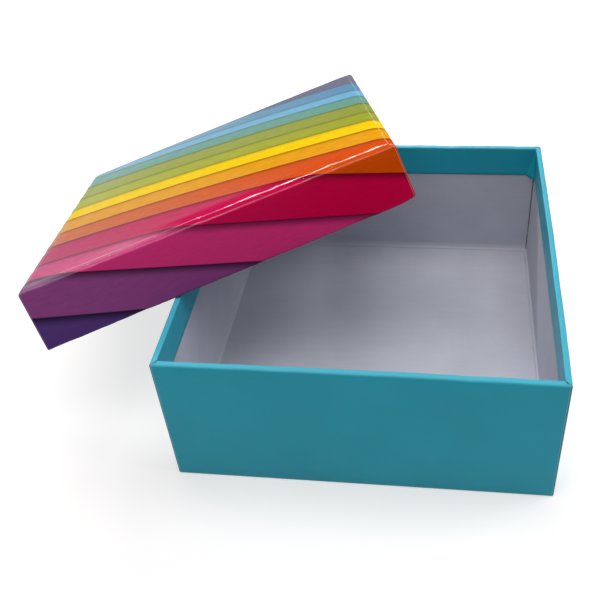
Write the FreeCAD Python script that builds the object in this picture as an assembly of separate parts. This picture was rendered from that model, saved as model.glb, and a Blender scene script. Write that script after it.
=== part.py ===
"""A two-piece rigid gift box: a wrapped greyboard tray, and a wrapped lift-off lid set down askew on it.

Millimetres, +Z up. The origin is the centre of the tray's underside, with the tray's front towards -Y.
Tray and lid are made the same way. A greyboard blank is half-cut along its folds and folded up, paper stays
hold its four butt corners, and one sheet of paper wraps the outside and turns in over the rim.
"""
import FreeCAD
import Part
import math
import os

from FreeCAD import Placement, Rotation, Vector

# Driving dimensions.
BASE_SIDE = 150.0
BASE_DEPTH = 65.0
LID_SIDE = 157.5
LID_DEPTH = 25.5
BOARD = 1.5
PAPER = 0.2
STAY_PAPER = 0.12
TURN_IN = 15.5

# Where the lid lies: the centre of its top face, and its turn, tip and roll in degrees.
LID_CENTRE = Vector(-78.7, 46.1, 71.983)
LID_TURN = 18.6
LID_TIP = -14.937
LID_ROLL = -17.815

# The board's folds. A half-cut score opens outside the fold and crimps the board to a bead inside it.
BASE_SCORE_OPEN = 0.35
LID_SCORE_OPEN = 1.0
BEAD_RADIUS = 1.2
RIM_ROUND = 0.25
CORNER_NOTCH = BOARD / 2
BUTT_GAP = 0.5
BUTT_REACH = 0.3

# The corner stays, and the wrap's lugs that run round each corner under the front and back flaps.
STAY_LEG = 11.0
STAY_RAMP = 2.0
STAY_END_GAP = 0.5
LUG = 14.0
LUG_RAMP = 16.0
FLAP_SETBACK = 0.3

# The wrap's rounding at the rim, its gussets inside the corners and the slits where its turn-ins meet.
WRAP_RIM_ROUND = 0.8
TURN_IN_ROUND = 0.35
WRAP_OVER_SCORE = 0.15
WRAP_FOLD_ROUND = 0.4
GUSSET_ALONG_FLAP = 3.8
GUSSET_ALONG_SIDE = 2.4
GUSSET_TOP = 0.9
GUSSET_TIP = 2.4
GUSSET_SIDE_DROP = 1.3
SLIT_LENGTH = 1.7
SLIT_WIDTH = 0.35

TAN_EIGHTH_TURN = math.tan(math.radians(22.5))
OVERSHOOT = 1.0


def board_half(side):
    """Half the width over the board, inside the lapped wrap and the stays."""
    return side / 2 - 2 * PAPER - STAY_PAPER


def block(half_x, half_y, low, high):
    """A box centred on the Z axis, from the height low to the height high."""
    return Part.makeBox(2 * half_x, 2 * half_y, high - low, Vector(-half_x, -half_y, low))


def edges_at(shape, height):
    """The straight level edges of a shape that lie at a height."""
    def level(edge):
        return all(abs(vertex.Z - height) < 1e-6 for vertex in edge.Vertexes)
    return [edge for edge in shape.Edges if level(edge)]


def prism(points, low, high):
    """An upright prism on a closed plan outline of (x, y) points."""
    corners = [Vector(x, y, low) for x, y in points]
    face = Part.Face(Part.makePolygon(corners + corners[:1]))
    return face.extrude(Vector(0, 0, high - low))


def in_each_corner(shape):
    """Copies of a shape made for the +X +Y corner, mirrored into all four corners."""
    origin = Vector(0, 0, 0)
    right = [shape, shape.mirror(origin, Vector(0, 1, 0))]
    return right + [each.mirror(origin, Vector(1, 0, 0)) for each in right]


def board(side, depth, score_open):
    """The folded blank: floor and four walls, open scores outside, crimped beads inside, butt corners."""
    half = board_half(side)
    inner = half - BOARD
    floor = PAPER + BOARD
    rim = depth - PAPER
    shell = block(half, half, PAPER, rim)
    shell = shell.makeChamfer(score_open, edges_at(shell, PAPER))
    shell = shell.cut(block(inner, inner, floor, rim + OVERSHOOT))
    shell = shell.makeFillet(RIM_ROUND, edges_at(shell, rim))
    start = Vector(-inner, -inner, floor)
    bead = Part.makeCylinder(BEAD_RADIUS, 2 * inner, start, Vector(1, 0, 0))
    turns = [bead.rotated(Vector(0, 0, 0), Vector(0, 0, 1), 90 * side_no) for side_no in range(4)]
    shell = shell.fuse(turns)
    inside = half - CORNER_NOTCH
    notch = Part.makeBox(BOARD, BOARD, depth + 2 * OVERSHOOT, Vector(inside, inside, -OVERSHOOT))
    reach = BUTT_REACH + BOARD * math.sqrt(2)
    slit = Part.makeBox(reach, BUTT_GAP, depth + 2 * OVERSHOOT, Vector(0, -BUTT_GAP / 2, -OVERSHOOT))
    slit.rotate(Vector(0, 0, 0), Vector(0, 0, 1), 45)
    begin = inner - BUTT_REACH / math.sqrt(2)
    slit.translate(Vector(begin, begin, 0))
    return shell.cut(in_each_corner(notch.fuse(slit))).removeSplitter()


def stay(side, depth, score_open):
    """The +X +Y corner's strip of gummed paper, which bridges the open notch outside the butt joint."""
    half = board_half(side)
    bend = half - CORNER_NOTCH
    outer = half + STAY_PAPER
    outer_bend = bend + STAY_PAPER * TAN_EIGHTH_TURN
    end = half - STAY_LEG
    low = PAPER + score_open + STAY_END_GAP
    high = depth - PAPER - RIM_ROUND - STAY_END_GAP
    inside_line = [(half, end), (half, bend), (bend, half), (end, half)]
    outside_line = [(end, outer), (outer_bend, outer), (outer, outer_bend), (outer, end)]
    return prism(inside_line + outside_line, low, high)


def wrap_outline(side):
    """The wrap's plan outline: a quarter drawn from +X to +Y, then mirrored about both axes.

    The side flap runs over the stay and round the corner. The front flap covers its lug, and ends in a
    small step just short of the corner. Both flaps sink gently to the board between the corners.
    """
    half = board_half(side)
    bend = half - CORNER_NOTCH
    sheet = half + PAPER
    over_stay = sheet + STAY_PAPER
    lapped = over_stay + PAPER
    bend_out = bend + (STAY_PAPER + PAPER) * TAN_EIGHTH_TURN
    radius = over_stay - bend_out
    mid = bend_out + radius * math.sqrt(0.5)
    flap_edge = bend_out - FLAP_SETBACK
    side_line = [
        (sheet, 0), (sheet, half - STAY_LEG - STAY_RAMP), (over_stay, half - STAY_LEG), (over_stay, bend_out)]
    flap_line = [
        (bend_out, over_stay), (flap_edge, over_stay), (flap_edge, lapped), (half - LUG, lapped),
        (half - LUG - LUG_RAMP, sheet), (0, sheet)]
    runs = [Part.makePolygon([Vector(x, y, 0) for x, y in line]) for line in (side_line, flap_line)]
    turn = Part.Arc(Vector(over_stay, bend_out, 0), Vector(mid, mid, 0), Vector(bend_out, over_stay, 0))
    quarter = Part.Compound(runs + [turn.toShape()])
    edges = [edge for copy in in_each_corner(quarter) for edge in copy.Edges]
    return Part.Wire(Part.sortEdges(edges)[0])


def gusset(side, depth):
    """The +X +Y corner's gusset: turned-in paper bridging the inside corner, widening downwards."""
    inner = board_half(side) - BOARD
    low = depth - TURN_IN
    top = Vector(inner, inner, depth - GUSSET_TOP)
    tip = Vector(inner, inner, low - GUSSET_TIP)
    on_flap = Vector(inner - GUSSET_ALONG_FLAP, inner, low)
    on_side = Vector(inner, inner - GUSSET_ALONG_SIDE, low - GUSSET_SIDE_DROP)
    faces = [(top, tip, on_flap), (top, on_side, tip), (tip, on_side, on_flap), (top, on_flap, on_side)]
    shell = Part.Shell([Part.Face(Part.makePolygon([a, b, c, a])) for a, b, c in faces])
    solid = Part.Solid(shell)
    if solid.Volume < 0:
        solid.reverse()
    return solid


def wrap(side, depth, score_open, stays):
    """The one sheet: underside, four flaps, rounded rim, turn-in, corner gussets and corner slits."""
    half = board_half(side)
    inner = half - BOARD
    pocket = inner - PAPER
    bend = half - CORNER_NOTCH
    fold = score_open + WRAP_OVER_SCORE
    skin = Part.Face(wrap_outline(side)).extrude(Vector(0, 0, depth))
    envelope = block(side / 2, side / 2, 0, depth)
    envelope = envelope.makeChamfer(fold, edges_at(envelope, 0))
    bends = edges_at(envelope, 0) + edges_at(envelope, fold)
    envelope = envelope.makeFillet(WRAP_FOLD_ROUND, bends)
    envelope = envelope.makeFillet(WRAP_RIM_ROUND, edges_at(envelope, depth))
    envelope = envelope.cut(block(pocket, pocket, depth - TURN_IN - OVERSHOOT, depth + OVERSHOOT))
    envelope = envelope.makeFillet(TURN_IN_ROUND, edges_at(envelope, depth))
    skin = skin.common(envelope)
    walls = block(half, half, PAPER, depth - PAPER)
    walls = walls.makeChamfer(score_open, edges_at(walls, PAPER))
    octagon = [(half, -bend), (half, bend), (bend, half), (-bend, half),
               (-half, bend), (-half, -bend), (-bend, -half), (bend, -half)]
    walls = walls.common(prism(octagon, PAPER, depth - PAPER))
    band = block(inner, inner, depth - TURN_IN, depth).cut(block(pocket, pocket, 0, depth + OVERSHOOT))
    skin = skin.cut([walls.cut(band)] + stays)
    skin = skin.fuse(in_each_corner(gusset(side, depth)))
    slit = Part.makeBox(SLIT_LENGTH, SLIT_WIDTH, 2 * PAPER, Vector(0, -SLIT_WIDTH / 2, -PAPER))
    slit.rotate(Vector(0, 0, 0), Vector(0, 0, 1), 45)
    slit.translate(Vector(pocket, pocket, depth))
    return skin.cut(in_each_corner(slit)).removeSplitter()


def tray(name, side, depth, score_open):
    """All the pieces of one wrapped tray that opens upwards, by node name."""
    stays = in_each_corner(stay(side, depth, score_open))
    pieces = {
        name + "_board": board(side, depth, score_open), name + "_wrap": wrap(side, depth, score_open, stays)}
    for number, strip in enumerate(stays, start=1):
        pieces[name + "_corner_stay_" + str(number)] = strip
    return pieces


def lay_lid(pieces):
    """Turn a tray over, so that it opens downwards, and set it down where the lid lies."""
    over = Placement(Vector(0, 0, 0), Rotation(Vector(1, 0, 0), 180))
    lie = Placement(LID_CENTRE, Rotation(LID_TURN, LID_TIP, LID_ROLL))
    matrix = lie.multiply(over).toMatrix()
    return {name: shape.transformed(matrix) for name, shape in pieces.items()}


def build():
    """Every node of the box, at rest."""
    nodes = tray("base", BASE_SIDE, BASE_DEPTH, BASE_SCORE_OPEN)
    nodes.update(lay_lid(tray("lid", LID_SIDE, LID_DEPTH, LID_SCORE_OPEN)))
    return nodes


def main():
    """Write one STEP file for each node."""
    os.makedirs("parts", exist_ok=True)
    for name, shape in build().items():
        solids = shape.Solids
        print(name, "solids", len(solids), "valid", shape.isValid(), "volume", round(shape.Volume, 1))
        shape = solids[0] if len(solids) == 1 else shape
        shape.exportStep(os.path.join("parts", name + ".step"))


if __name__ == "__main__":
    main()
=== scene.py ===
"""Looks of a rigid gift box: a wrapped board tray in blue-green paper and a striped lid lying askew on it.

The frame holds the folded boards, the wraps and the corner stays at their real size. Here all of them are
modelled again as thin folded sheets, blanks and strips, with the slight bows, ripples and creases of real
paper and board, and every piece gets its finish. Lengths are in metres, unless a docstring says millimetres.

A tray has its own axes: x across, y along and z from its closed face towards its mouth. The lid is a
shallow tray that lies upside down, so its closed face is its top.
"""

import logging
import math
from dataclasses import dataclass
from enum import Enum
from typing import ClassVar, Sequence

import bmesh
import bpy
import numpy as np
from mathutils import Matrix, Vector

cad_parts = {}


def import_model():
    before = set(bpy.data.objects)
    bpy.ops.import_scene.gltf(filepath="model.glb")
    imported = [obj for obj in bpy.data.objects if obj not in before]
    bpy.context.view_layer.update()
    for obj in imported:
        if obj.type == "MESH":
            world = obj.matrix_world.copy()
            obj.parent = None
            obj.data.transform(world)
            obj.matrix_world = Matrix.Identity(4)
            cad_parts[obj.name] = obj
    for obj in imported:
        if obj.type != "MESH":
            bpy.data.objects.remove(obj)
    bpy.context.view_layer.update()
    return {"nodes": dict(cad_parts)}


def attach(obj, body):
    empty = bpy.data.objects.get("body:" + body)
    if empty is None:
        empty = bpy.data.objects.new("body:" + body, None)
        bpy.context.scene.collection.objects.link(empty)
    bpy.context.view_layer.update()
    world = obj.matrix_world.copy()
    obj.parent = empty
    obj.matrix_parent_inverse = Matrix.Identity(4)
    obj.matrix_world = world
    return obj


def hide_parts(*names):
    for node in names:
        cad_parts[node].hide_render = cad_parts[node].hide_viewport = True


log = logging.getLogger("gift_box")

MM = 0.001
WELD = 0.002 * MM
PRESSED = 0.9
Pair = tuple[float, float]
Triple = tuple[float, float, float]
Socket = bpy.types.NodeSocket
STILL: Triple = (0.0, 0.0, 0.0)
WHITE: Triple = (1.0, 1.0, 1.0)
# The pale grey of the painted sheen, and of the flaps' pale edges with their painted highlight.
PALE: Triple = (0.9, 0.9, 0.9)


class Side(Enum):
    """A tray's four walls, numbered anticlockwise about its own z axis from +x."""

    RIGHT = 0
    BACK = 1
    LEFT = 2
    FRONT = 3

    @property
    def outward(self) -> np.ndarray:
        """The wall's outward normal in the tray's axes."""
        angle = self.value * math.pi / 2
        return np.round([math.cos(angle), math.sin(angle), 0.0])

    @property
    def after(self) -> "Side":
        """The next wall, anticlockwise."""
        return Side((self.value + 1) % 4)

    @property
    def along(self) -> np.ndarray:
        """The direction along the wall, anticlockwise."""
        return self.after.outward

    @property
    def is_flap(self) -> bool:
        """Whether the paper on this wall is a flap that lies over the lugs of its neighbours."""
        return self in (Side.BACK, Side.FRONT)


# ---------------------------------------------------------------------------------------------- shapes

def smooth(low: float, high: float, value: np.ndarray) -> np.ndarray:
    """A smooth step: 0 up to low, 1 from high, and the cubic 3t² − 2t³ of the share t between them."""
    share = np.clip((value - low) / (high - low), 0.0, 1.0)
    return share * share * (3.0 - 2.0 * share)


def nearing(edge: float, band: Pair, value: np.ndarray) -> np.ndarray:
    """A smooth step on the way to an edge: 0 at the band's first distance from it, 1 at its second."""
    return smooth(edge - band[0], edge - band[1], value)


def unit(vector: np.ndarray) -> np.ndarray:
    """A vector brought to a length of 1."""
    return vector / np.linalg.norm(vector)


def run(start: np.ndarray, end: np.ndarray, cuts: int) -> np.ndarray:
    """The even points of a straight run, start + (end − start)·t, without its end."""
    return start + (end - start) * np.linspace(0.0, 1.0, cuts + 1)[:-1, None]


def quarter_turn(side: Side, angle: np.ndarray) -> np.ndarray:
    """Directions from a wall's outward normal, at angle 0, towards the next wall's: o·cos + a·sin."""
    return np.cos(angle)[:, None] * side.outward + np.sin(angle)[:, None] * side.along


def rounded_line(corners: Sequence[Triple], bend_steps: int, run_steps: Sequence[int]) -> np.ndarray:
    """A line of straight runs with rounded corners.

    Each corner is an arc tangent to both runs: its points are centre + r(cos, sin), from one tangent point
    to the other. Each run between two arcs is cut evenly.

    Args:
        corners: (inset, height, radius) of each corner. The radius of the two ends isn't used.
        bend_steps: Cuts in each arc.
        run_steps: Cuts in each straight run.

    Returns:
        The points as rows of (inset, height).
    """
    points = np.array([corner[:2] for corner in corners])
    start, pieces = points[0], []
    for number in range(1, len(points) - 1):
        corner, radius = points[number], corners[number][2]
        back, on = unit(points[number - 1] - corner), unit(points[number + 1] - corner)
        half_angle = math.acos(np.clip(back @ on, -1.0, 1.0)) / 2
        reach = radius / math.tan(half_angle)
        arrive, leave = corner + back * reach, corner + on * reach
        centre = corner + unit(back + on) * radius / math.sin(half_angle)
        (from_x, from_y), (to_x, to_y) = arrive - centre, leave - centre
        turn = math.atan2(from_x * to_y - from_y * to_x, from_x * to_x + from_y * to_y)
        angles = math.atan2(from_y, from_x) + turn * np.linspace(0.0, 1.0, bend_steps + 1)[:-1]
        arc = centre + radius * np.stack([np.cos(angles), np.sin(angles)], axis=-1)
        pieces += [run(start, arrive, run_steps[number - 1]), arc]
        start = leave
    return np.concatenate(pieces + [run(start, points[-1], run_steps[-1]), points[-1:]])


@dataclass
class Patch:
    """A grid of points with the sheet coordinates of each, one part of a surface.

    Attributes:
        points: The points.
        sheet: Their sheet coordinates.
        flipped: Whether its quads are turned over, so that they face outwards.
    """

    points: np.ndarray
    sheet: np.ndarray
    flipped: bool = False

    def faces(self, first: int) -> np.ndarray:
        """The grid's quads.

        Args:
            first: The index of the grid's first point.

        Returns:
            Four indices for each quad.
        """
        rows, columns = self.points.shape[:2]
        index = first + np.arange(rows * columns).reshape(rows, columns)
        quads = np.stack([index[:-1, :-1], index[:-1, 1:], index[1:, 1:], index[1:, :-1]], axis=-1)
        quads = quads.reshape(-1, 4)
        return quads[:, ::-1] if self.flipped else quads


def surface(name: str, patches: Sequence[Patch]) -> bpy.types.Object:
    """One object from several patches, whose meeting edges are welded.

    Args:
        name: The piece's name.
        patches: Its patches, in the frame's axes.

    Returns:
        The new object, with the sheet coordinates as its UV map.
    """
    counts = np.cumsum([0] + [patch.points[..., 0].size for patch in patches])
    quads = np.concatenate([patch.faces(first) for patch, first in zip(patches, counts)])
    points = np.concatenate([patch.points.reshape(-1, 3) for patch in patches])
    sheet = np.concatenate([patch.sheet.reshape(-1, 2) for patch in patches])
    mesh = bpy.data.meshes.new(name)
    mesh.from_pydata(points, [], quads.tolist())
    layer = mesh.uv_layers.new(name="sheet")
    layer.data.foreach_set("uv", sheet[quads.reshape(-1)].astype(np.float32).ravel())
    welded = bmesh.new()
    welded.from_mesh(mesh)
    bmesh.ops.remove_doubles(welded, verts=welded.verts, dist=WELD)
    welded.to_mesh(mesh)
    welded.free()
    mesh.polygons.foreach_set("use_smooth", np.ones(len(mesh.polygons), bool))
    piece = bpy.data.objects.new(name, mesh)
    bpy.context.scene.collection.objects.link(piece)
    return piece


def thicken(piece: bpy.types.Object, paper: float) -> None:
    """Give a sheet its thickness behind its face, as much as gluing leaves of the paper's.

    Args:
        piece: The sheet.
        paper: The paper's thickness.
    """
    solid = piece.modifiers.new("paper", "SOLIDIFY")
    solid.thickness = paper * PRESSED
    solid.offset = -1.0
    solid.use_even_offset = False


def read(items: bpy.types.bpy_prop_collection, name: str, width: int) -> np.ndarray:
    """One property of a mesh's points or faces.

    Args:
        items: The points or faces.
        name: The property's name.
        width: How many numbers it holds.

    Returns:
        A row of numbers for each.
    """
    values = np.zeros(len(items) * width, np.float32)
    items.foreach_get(name, values)
    return values.reshape(-1, width).astype(float)


@dataclass(frozen=True)
class Stance:
    """Where a wrapped tray stands in the frame, read from its wrap's mesh.

    Attributes:
        foot: The middle of its closed face.
        axes: Its x, y and z axes as rows.
        half: Half its width over the front and back flaps.
        depth: Its depth from the closed face to the rim.
        broad_share, wall_share: How large a face is, beside the largest, to count as broad or as a wall.
        parallel: The cosine past which two faces lie the same way.
        same_plane: How far apart two faces may lie to be in one plane.
        upright: The cosine within which a face stands square to another.
    """

    foot: np.ndarray
    axes: np.ndarray
    half: float
    depth: float
    broad_share: ClassVar[float] = 0.2
    wall_share: ClassVar[float] = 0.05
    parallel: ClassVar[float] = 0.9999
    same_plane: ClassVar[float] = 0.05 * MM
    upright: ClassVar[float] = 0.001

    @classmethod
    def of(cls, wrap: bpy.types.Object) -> "Stance":
        """Read a stance from a wrap's mesh.

        The closed face is the plane with the most area, z runs from it to the sheet's middle, and x is the
        wall's normal that points furthest to the frame's right.

        Args:
            wrap: The frame's node of the wrap.

        Returns:
            The tray's stance.
        """
        mesh = wrap.data
        points, areas = read(mesh.vertices, "co", 3), read(mesh.polygons, "area", 1)[:, 0]
        normals, centres = read(mesh.polygons, "normal", 3), read(mesh.polygons, "center", 3)
        levels = np.sum(normals * centres, axis=1)
        broad = areas > cls.broad_share * areas.max()
        apart = np.abs(levels[broad][:, None] - levels)
        in_plane = (normals[broad] @ normals.T > cls.parallel) & (apart < cls.same_plane)
        widest = np.argmax(in_plane @ areas)
        closed, in_face = normals[broad][widest], in_plane[widest]
        middle = np.average(centres, axis=0, weights=areas)
        face_middle = np.average(centres[in_face], axis=0, weights=areas[in_face])
        up = closed * np.sign((middle - face_middle) @ closed)
        walls = np.abs(normals @ up) < cls.upright
        square = walls & (areas > cls.wall_share * areas[walls].max())
        across = normals[square][np.argmax(normals[square][:, 0])]
        across = unit(across - up * (across @ up))
        axes = np.stack([across, np.cross(up, across), up])
        local = points @ axes.T
        low, high = local.min(axis=0), local.max(axis=0)
        foot = np.array([(low[0] + high[0]) / 2, (low[1] + high[1]) / 2, low[2]]) @ axes
        return cls(foot, axes, (high[1] - low[1]) / 2, high[2] - low[2])

    def place(self, points: np.ndarray) -> np.ndarray:
        """Points in the tray's axes, put into the frame's."""
        return self.foot + points @ self.axes


# --------------------------------------------------------------------- how the real thing strays from flat

@dataclass(frozen=True)
class Wave:
    """A smooth uneven wave of about unit height: sines of falling length and height with seeded phases.

    Attributes:
        longest: The length of the longest sine.
        sines: How many sines are summed.
        seed_step: What it adds to the tray's seed, so that no two waves are alike.
        shortening: How many times as short each sine is as the last.
        fading: The height of each sine as a share of the last one's.
        level: What the sum is divided by.
    """

    longest: float
    sines: int
    seed_step: int
    shortening: float = 1.7
    fading: float = 0.75
    level: float = 1.6

    def at(self, along: np.ndarray, seed: int) -> np.ndarray:
        """The wave's height: the sum of fadingⁿ·sin(2π(shorteningⁿ·along/longest + phase)), over level.

        Args:
            along: Places along an edge.
            seed: The tray's seed.

        Returns:
            The height at each place.
        """
        phases = np.random.default_rng(seed + self.seed_step).random(self.sines)
        order = np.arange(self.sines)
        turns = along[..., None] / self.longest * self.shortening ** order + phases
        return np.sum(np.sin(2 * math.pi * turns) * self.fading ** order, axis=-1) / self.level


@dataclass(frozen=True)
class Lie:
    """How far a tray's real walls and faces stray from flat, and how its paper ripples.

    Attributes:
        bows: How far each wall's rim bows outward in its middle: right, back, left and front.
        crown: How far the closed face bulges outward in its middle.
        crown_across: A further bulge that runs the closed face's whole length along y.
        rim_wave: The height of the rim's unevenness.
        fold_wave: How far the bevelled fold wanders.
        floor_wave: The height of the board's broad waves.
        foot_corners: How far each corner of the closed face strays, in millimetres, as corner_signs runs.
        rim_corners: How far each corner of the rim strays, in the same order.
        seed: The seed of the ripples.
        tuck: How far the +x +y corner's rim is drawn in.
        tuck_reach: How far from the corner the tuck fades.
        wall_wave: The height of the walls' unevenness.
        along_wall, along_rim, along_fold: The waves of walls, rim and fold.
        over_floor: The two waves of the board's floor.
        floor_height: The share of floor_wave that each of them has.
        floor_bend, floor_bend_run: How far the second of them bends, and over what length.
        wall_band, fold_band: How far inside the half width walls and folds start to move, and move in full.
        rim_band, tuck_band: How far below the rim its wave and its tuck start, and are full.
        fold_heights, face_heights: The heights down which the fold's wave and the closed face's bulge grow.
        floor_band: How far inside the half width the floor is still, and waves in full.
        fold_slant: How much of the fold's wave goes outward, and as much down.
        calm_power, arch_power: How late walls and arch calm down towards their ends.
        corner_signs: The signs of x and y at the corners, anticlockwise from +x +y.
    """

    bows: tuple[float, float, float, float]
    crown: float
    crown_across: float
    rim_wave: float
    fold_wave: float
    floor_wave: float
    foot_corners: tuple[Triple, Triple, Triple, Triple]
    rim_corners: tuple[Triple, Triple, Triple, Triple]
    seed: int
    tuck: float = 0.0
    tuck_reach: float = 3.5 * MM
    wall_wave: float = 0.06 * MM
    along_wall: ClassVar[Wave] = Wave(70 * MM, 4, 0)
    along_rim: ClassVar[Wave] = Wave(31 * MM, 6, 10)
    along_fold: ClassVar[Wave] = Wave(17 * MM, 6, 20)
    over_floor: ClassVar[tuple[Wave, Wave]] = (Wave(110 * MM, 3, 40), Wave(62 * MM, 3, 41))
    floor_height: ClassVar[float] = 0.6
    floor_bend: ClassVar[float] = 12 * MM
    floor_bend_run: ClassVar[float] = 30 * MM
    wall_band: ClassVar[Pair] = (6 * MM, 3 * MM)
    fold_band: ClassVar[Pair] = (5 * MM, 2 * MM)
    rim_band: ClassVar[Pair] = (3 * MM, 0.0)
    tuck_band: ClassVar[Pair] = (8 * MM, 0.0)
    fold_heights: ClassVar[Pair] = (3 * MM, 0.4 * MM)
    face_heights: ClassVar[Pair] = (4 * MM, 2 * MM)
    floor_band: ClassVar[Pair] = (2 * MM, 14 * MM)
    fold_slant: ClassVar[float] = 0.7
    calm_power: ClassVar[int] = 8
    arch_power: ClassVar[int] = 6
    corner_signs: ClassVar[tuple[tuple[int, int], ...]] = ((1, 1), (-1, 1), (-1, -1), (1, -1))

    def on_wall(self, points: np.ndarray, side: Side, half: float, depth: float) -> np.ndarray:
        """One wall's bow and ripples, which all fade at its ends.

        The wall bows by bow·(1 − s²)·rise, where s is the share of the way from its middle to its end and
        rise grows from 0 at the fold to 1 at the rim. Its face, its rim and its fold's line get ripples.

        Args:
            points: Points in the tray's axes.
            side: The wall.
            half: Half the tray's width.
            depth: Its depth.

        Returns:
            How far each point moves.
        """
        out, along, height = points @ side.outward, points @ side.along, points[..., 2]
        share, climb = np.clip(along / half, -1.0, 1.0), np.clip(height / depth, 0.0, 1.0)
        seed = self.seed + side.value
        calm = (1 - share ** self.calm_power) * nearing(half, self.wall_band, out)
        rise = (smooth(0.0, 1.0, climb) + climb) / 2
        bow = self.bows[side.value] * (1 - share ** 2) + self.wall_wave * self.along_wall.at(along, seed)
        bow = bow * rise
        lift = self.rim_wave * nearing(depth, self.rim_band, height) * self.along_rim.at(along, seed)
        at_fold = smooth(*self.fold_heights, height) * nearing(half, self.fold_band, out)
        slant = self.fold_slant * self.fold_wave * at_fold * self.along_fold.at(along, seed)
        moved = (calm * (bow + slant))[..., None] * side.outward
        moved[..., 2] += calm * (lift - slant)
        return moved

    def stray(self, points: np.ndarray, half: float, depth: float) -> np.ndarray:
        """Move points by the tray's bows, crown, stray corners and ripples.

        The closed face bulges by crown·(1 − x²)(1 − y²) with x and y as shares of the half width. The
        corners' shifts are shared out by (1 ± x)(1 ± y)/4, and from foot to rim by the share of the height.

        Args:
            points: Points in the tray's axes.
            half: Half the tray's width.
            depth: Its depth.

        Returns:
            The moved points.
        """
        moved = points + sum(self.on_wall(points, side, half, depth) for side in Side)
        x, y, height = points[..., 0], points[..., 1], points[..., 2]
        share_x, share_y = np.clip(x / half, -1, 1), np.clip(y / half, -1, 1)
        dome = self.crown * (1 - share_x ** 2) * (1 - share_y ** 2)
        arch = self.crown_across * (1 - share_x ** 2) * (1 - share_y ** self.arch_power)
        moved[..., 2] -= smooth(*self.face_heights, height) * (dome + arch)
        climb = np.clip(height / depth, 0.0, 1.0)[..., None]
        for (sign_x, sign_y), foot, rim in zip(self.corner_signs, self.foot_corners, self.rim_corners):
            weight = ((1 + sign_x * share_x) * (1 + sign_y * share_y) / 4)[..., None]
            moved += weight * (np.array(foot) * (1 - climb) + np.array(rim) * climb) * MM
        near_tuck = np.exp(-(np.hypot(x - half, y - half) / self.tuck_reach) ** 2)
        moved[..., 2] -= self.tuck * near_tuck * nearing(depth, self.tuck_band, height)
        return moved

    def warp_floor(self, points: np.ndarray, half: float, on_floor: np.ndarray) -> np.ndarray:
        """Give the board's floor the broad waves of damp board, which fade towards its folds.

        The first wave runs along 0.9·x + 0.25·y and the second along 0.2·x + y, bent by a slow sine of x.

        Args:
            points: Points in the tray's axes.
            half: Half the tray's width.
            on_floor: Whether each point lies on the floor's top. The others don't move.

        Returns:
            The moved points.
        """
        x, y, height = points[..., 0], points[..., 1], points[..., 2]
        first, second = self.over_floor
        bend = self.floor_bend * np.sin(x / self.floor_bend_run)
        wave = first.at(0.9 * x + 0.25 * y + height, self.seed) * self.floor_height
        wave += second.at(0.2 * x + y + height + bend, self.seed) * self.floor_height
        calm = nearing(half, self.floor_band, np.maximum(np.abs(x), np.abs(y)))
        moved = points.copy()
        moved[..., 2] += self.floor_wave * wave * calm * on_floor
        return moved


@dataclass(frozen=True)
class RimSlit:
    """The small slit on the rim where two turned-in flaps meet, beside a low rounded tongue.

    Attributes:
        length: Its length.
        width: Its width.
        depth: Its depth.
        start: How far inside the rim's edge it starts.
        bend: How far it bends towards the front or back flap.
        tongue_at: How far from it the tongue's top lies.
        tongue_width: Half the tongue's width.
        tongue_height: The tongue's height.
        opens: The shares of its length between which it opens.
        closes: The shares of its length between which it closes, past its end.
        top_band: How far below the rim it starts to show, and shows in full.
    """

    length: float = 2.9 * MM
    width: float = 0.6 * MM
    depth: float = 1.3 * MM
    start: float = 0.7 * MM
    bend: float = 0.25 * MM
    tongue_at: float = 0.75 * MM
    tongue_width: float = 0.45 * MM
    tongue_height: float = 0.14 * MM
    opens: Pair = (0.0, 0.25)
    closes: Pair = (1.35, 1.1)
    top_band: Pair = (1.2 * MM, 0.5 * MM)

    def cut(self, points: np.ndarray, half: float, rim: float) -> np.ndarray:
        """Cut the four slits across the corners' diagonals.

        The groove's depth is depth·(1 − (d/w)²), where d is the distance from the bent diagonal and w is
        half the width. The tongue is the bump height·exp(−(e/width)²), with e the distance from its top.

        Args:
            points: Points in the tray's axes.
            half: Half the tray's width.
            rim: The height of the rim.

        Returns:
            The moved points.
        """
        from_x, from_y = half - np.abs(points[..., 0]), half - np.abs(points[..., 1])
        share = ((from_x + from_y) / 2 - self.start) / (self.length / math.sqrt(2))
        inside = smooth(*self.opens, share) * smooth(*self.closes, share)
        inside = inside * nearing(rim, self.top_band, points[..., 2])
        across = (from_x - from_y) / math.sqrt(2)
        off = across - self.bend * np.sin(math.pi * np.clip(share, 0, 1))
        groove = self.depth * np.clip(1 - (off / (self.width / 2)) ** 2, 0, 1)
        tongue = self.tongue_height * np.exp(-((across - self.tongue_at) / self.tongue_width) ** 2)
        moved = points.copy()
        moved[..., 2] += (tongue - groove) * inside
        return moved


# ---------------------------------------------------------------------------------------- wrapped trays

@dataclass(frozen=True)
class Gusset:
    """The turned-in paper that bridges an inside corner with a flat facet, wider towards its lower end.

    Attributes:
        top: How far below the rim it starts.
        along_flap: How far it reaches along a front or back wall.
        along_side: How far it reaches along a side wall.
        drop: How much lower it ends on a side wall.
        drop_run: How far from the corner the drop fades.
        drop_power: How late the drop comes on the way down.
    """

    top: float = 0.9 * MM
    along_flap: float = 3.8 * MM
    along_side: float = 2.4 * MM
    drop: float = 1.3 * MM
    drop_run: float = 6.0 * MM
    drop_power: float = 1.5

    def reach(self, side: Side, turned: np.ndarray) -> np.ndarray:
        """How far it reaches along a wall, for each share of the way down the turn-in."""
        return (self.along_flap if side.is_flap else self.along_side) * turned

    def sag(self, turned: np.ndarray) -> np.ndarray:
        """How much lower the paper lies on the side wall, for each share of the way down."""
        return self.drop * turned ** self.drop_power


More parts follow.
